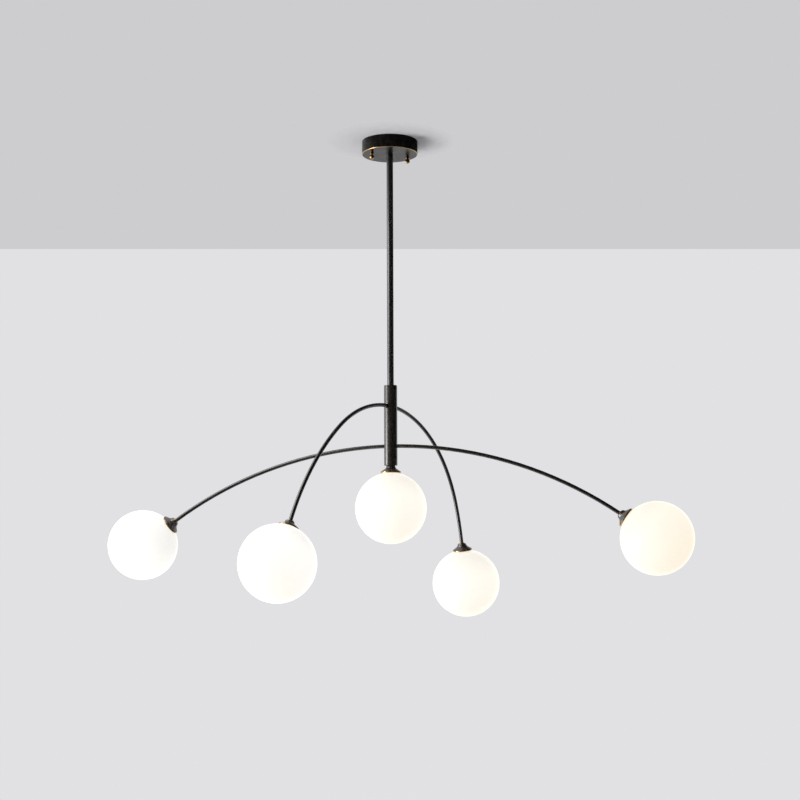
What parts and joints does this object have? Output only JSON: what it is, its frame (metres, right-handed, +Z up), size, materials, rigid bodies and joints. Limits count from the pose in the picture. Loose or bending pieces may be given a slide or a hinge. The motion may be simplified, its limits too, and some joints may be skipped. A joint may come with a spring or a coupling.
{
  "type": "branch chandelier",
  "caption": "Branch chandelier with bent tube arches crossing a slim hub on a down rod, opal glass globes in flared cups, and a round canopy held by brass ball nuts.",
  "frame": {"origin": "on the ceiling plane, at the centre of the two ceiling screw holes and on the down rod's axis", "axes": "+Z up into the ceiling; +X along the long arch, from the left globe to the right globe; the object hangs down -Z"},
  "size_m": [1.2502, 0.8028, 1.0204],
  "materials": {
    "satin_black": "satin black over brass, with edges rubbed to the metal",
    "brass": "polished, lightly aged",
    "zinc_steel": "zinc plated",
    "black_steel": "black oxide",
    "opal_glass": "glossy opal, lit evenly from inside",
    "clear_silicone": "matt",
    "white_ceramic": "unglazed",
    "bulb_plastic": "milky satin",
    "terminal_plastic": "satin nylon",
    "lead_sleeve": "silicone sleeve",
    "connector_sleeve": "nylon",
    "earth_sleeve": "green with a yellow stripe"
  },
  "bodies": {
    "root": {"ceiling_bracket": "zinc_steel", "bracket_studs": "zinc_steel", "stud_nuts": "zinc_steel", "earth_screw": "brass", "earth_lug": "zinc_steel", "terminal_block": "terminal_plastic", "terminal_screws": "zinc_steel", "stem_nipple": "zinc_steel", "stem_nuts": "zinc_steel", "stem_washer": "zinc_steel", "stem_tube": "satin_black", "stem_plugs": "zinc_steel", "hub_tube": "satin_black", "hub_top_cap": "satin_black", "hub_bottom_cap": "satin_black", "hub_nipple": "zinc_steel", "hub_nut": "zinc_steel", "hub_set_screws": "black_steel", "long_arch": "satin_black", "short_arch": "satin_black", "arm_nipples": "brass", "bottom_nipple": "brass", "hub_lower_nut": "zinc_steel", "cup_nuts": "zinc_steel", "holder_plates": "zinc_steel", "stem_lead": "lead_sleeve", "hub_leads": "lead_sleeve", "long_arch_leads": "lead_sleeve", "short_arch_leads": "lead_sleeve", "wire_connectors": "connector_sleeve", "earth_lead": "earth_sleeve", "cup_left": "satin_black", "lampholder_left": "white_ceramic", "cup_right": "satin_black", "lampholder_right": "white_ceramic", "cup_front": "satin_black", "lampholder_front": "white_ceramic", "cup_back": "satin_black", "lampholder_back": "white_ceramic", "cup_centre": "satin_black", "lampholder_centre": "white_ceramic"},
    "canopy": {"canopy_cover": "satin_black"},
    "nut_left": {"ball_nut_left": "brass"},
    "nut_right": {"ball_nut_right": "brass"},
    "bulb_left": {"bulb_left": "bulb_plastic"},
    "seal_left": {"seal_left": "clear_silicone"},
    "globe_left": {"globe_left": "opal_glass"},
    "bulb_right": {"bulb_right": "bulb_plastic"},
    "seal_right": {"seal_right": "clear_silicone"},
    "globe_right": {"globe_right": "opal_glass"},
    "bulb_front": {"bulb_front": "bulb_plastic"},
    "seal_front": {"seal_front": "clear_silicone"},
    "globe_front": {"globe_front": "opal_glass"},
    "bulb_back": {"bulb_back": "bulb_plastic"},
    "seal_back": {"seal_back": "clear_silicone"},
    "globe_back": {"globe_back": "opal_glass"},
    "bulb_centre": {"bulb_centre": "bulb_plastic"},
    "seal_centre": {"seal_centre": "clear_silicone"},
    "globe_centre": {"globe_centre": "opal_glass"}
  },
  "joints": [
    {"name": "canopy_drop", "type": "slide", "parent": "root", "child": "canopy", "axis": [0, 0, -1], "range_m": [0, 0.504]},
    {"name": "ball_nut_left_turn", "type": "hinge", "parent": "canopy", "child": "nut_left", "pos_m": [-0.03376, -0.02498, -0.036], "axis": [0, 0, -1], "continuous": true},
    {"name": "ball_nut_right_turn", "type": "hinge", "parent": "canopy", "child": "nut_right", "pos_m": [0.03376, 0.02498, -0.036], "axis": [0, 0, -1], "continuous": true},
    {"name": "globe_left_draw", "type": "slide", "parent": "root", "child": "seal_left", "axis": [-0.8211, 0, -0.5707], "range_m": [0, 0.08]},
    {"name": "globe_left_turn", "type": "hinge", "parent": "seal_left", "child": "globe_left", "pos_m": [-0.55013, 0, -0.86292], "axis": [-0.8211, 0, -0.5707], "continuous": true},
    {"name": "bulb_left_pull", "type": "slide", "parent": "root", "child": "bulb_left", "axis": [-0.8211, 0, -0.5707], "range_m": [0, 0.012]},
    {"name": "globe_right_draw", "type": "slide", "parent": "root", "child": "seal_right", "axis": [0.8211, 0, -0.5707], "range_m": [0, 0.08]},
    {"name": "globe_right_turn", "type": "hinge", "parent": "seal_right", "child": "globe_right", "pos_m": [0.55013, 0, -0.86292], "axis": [0.8211, 0, -0.5707], "continuous": true},
    {"name": "bulb_right_pull", "type": "slide", "parent": "root", "child": "bulb_right", "axis": [0.8211, 0, -0.5707], "range_m": [0, 0.012]},
    {"name": "globe_front_draw", "type": "slide", "parent": "root", "child": "seal_front", "axis": [-0.1562, -0.4113, -0.898], "range_m": [0, 0.08]},
    {"name": "globe_front_turn", "type": "hinge", "parent": "seal_front", "child": "globe_front", "pos_m": [-0.13869, -0.36511, -0.916], "axis": [-0.1562, -0.4113, -0.898], "continuous": true},
    {"name": "bulb_front_pull", "type": "slide", "parent": "root", "child": "bulb_front", "axis": [-0.1562, -0.4113, -0.898], "range_m": [0, 0.012]},
    {"name": "globe_back_draw", "type": "slide", "parent": "root", "child": "seal_back", "axis": [0.069, 0.1816, -0.981], "range_m": [0, 0.08]},
    {"name": "globe_back_turn", "type": "hinge", "parent": "seal_back", "child": "globe_back", "pos_m": [0.10928, 0.28769, -0.94538], "axis": [0.069, 0.1816, -0.981], "continuous": true},
    {"name": "bulb_back_pull", "type": "slide", "parent": "root", "child": "bulb_back", "axis": [0.069, 0.1816, -0.981], "range_m": [0, 0.012]},
    {"name": "globe_centre_draw", "type": "slide", "parent": "root", "child": "seal_centre", "axis": [0, 0, -1], "range_m": [0, 0.08]},
    {"name": "globe_centre_turn", "type": "hinge", "parent": "seal_centre", "child": "globe_centre", "pos_m": [0, 0, -0.7926], "axis": [0, 0, -1], "continuous": true},
    {"name": "bulb_centre_pull", "type": "slide", "parent": "root", "child": "bulb_centre", "axis": [0, 0, -1], "range_m": [0, 0.012]}
  ]
}
